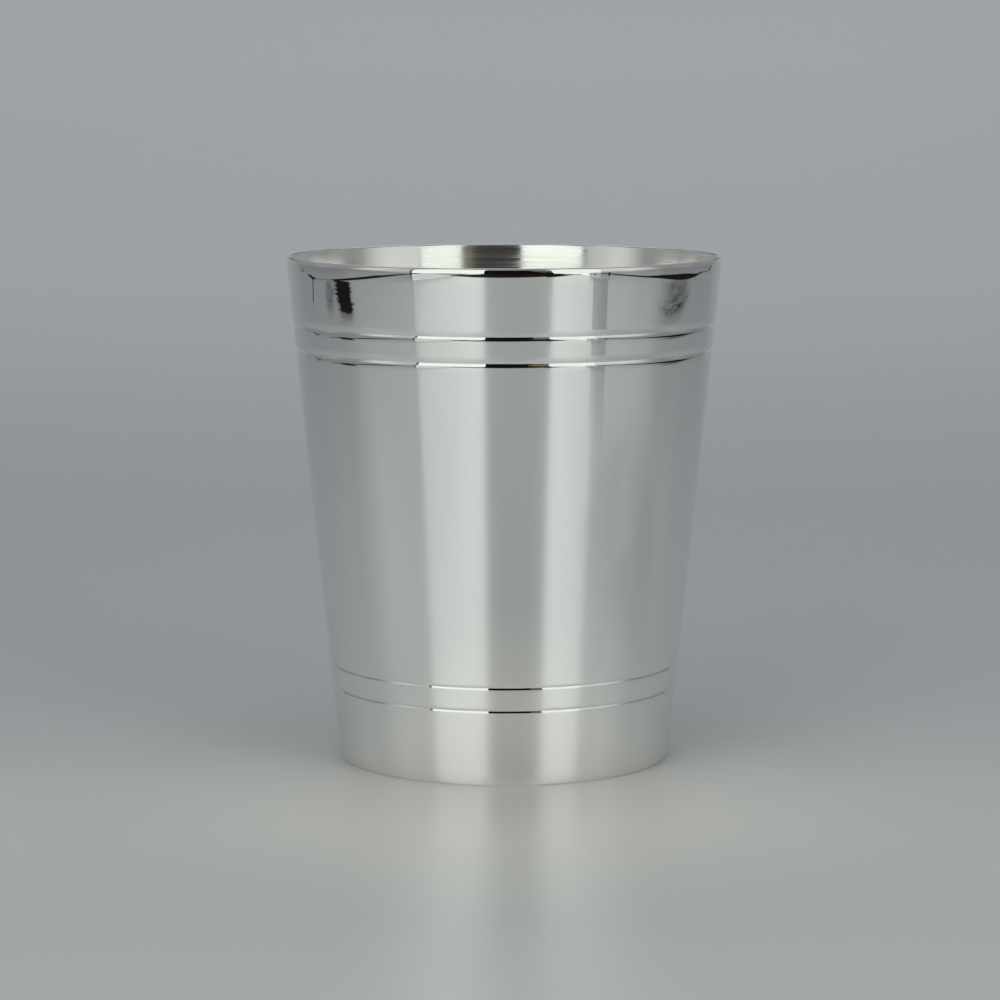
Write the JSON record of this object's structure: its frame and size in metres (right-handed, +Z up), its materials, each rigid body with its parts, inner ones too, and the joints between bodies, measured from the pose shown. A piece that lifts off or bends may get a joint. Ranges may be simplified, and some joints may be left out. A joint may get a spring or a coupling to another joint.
{
  "type": "beaker",
  "caption": "Tapered silver-plated drinking beaker with a rounded lip and paired turned grooves below the rim and above the foot.",
  "frame": {"origin": "centre of the foot, on the surface the beaker stands on", "axes": "+Z up along the beaker's axis, from foot to lip; X and Y level, with no direction of their own on a round body"},
  "size_m": [0.0774, 0.0774, 0.09],
  "materials": {
    "silver_plate_polished": "polished",
    "silver_plate_satin": "satin",
    "silver_solder": "satin"
  },
  "bodies": {
    "root": {"body_sleeve": "silver_plate_polished", "base_disc": "silver_plate_satin", "base_solder": "silver_solder"}
  },
  "joints": []
}
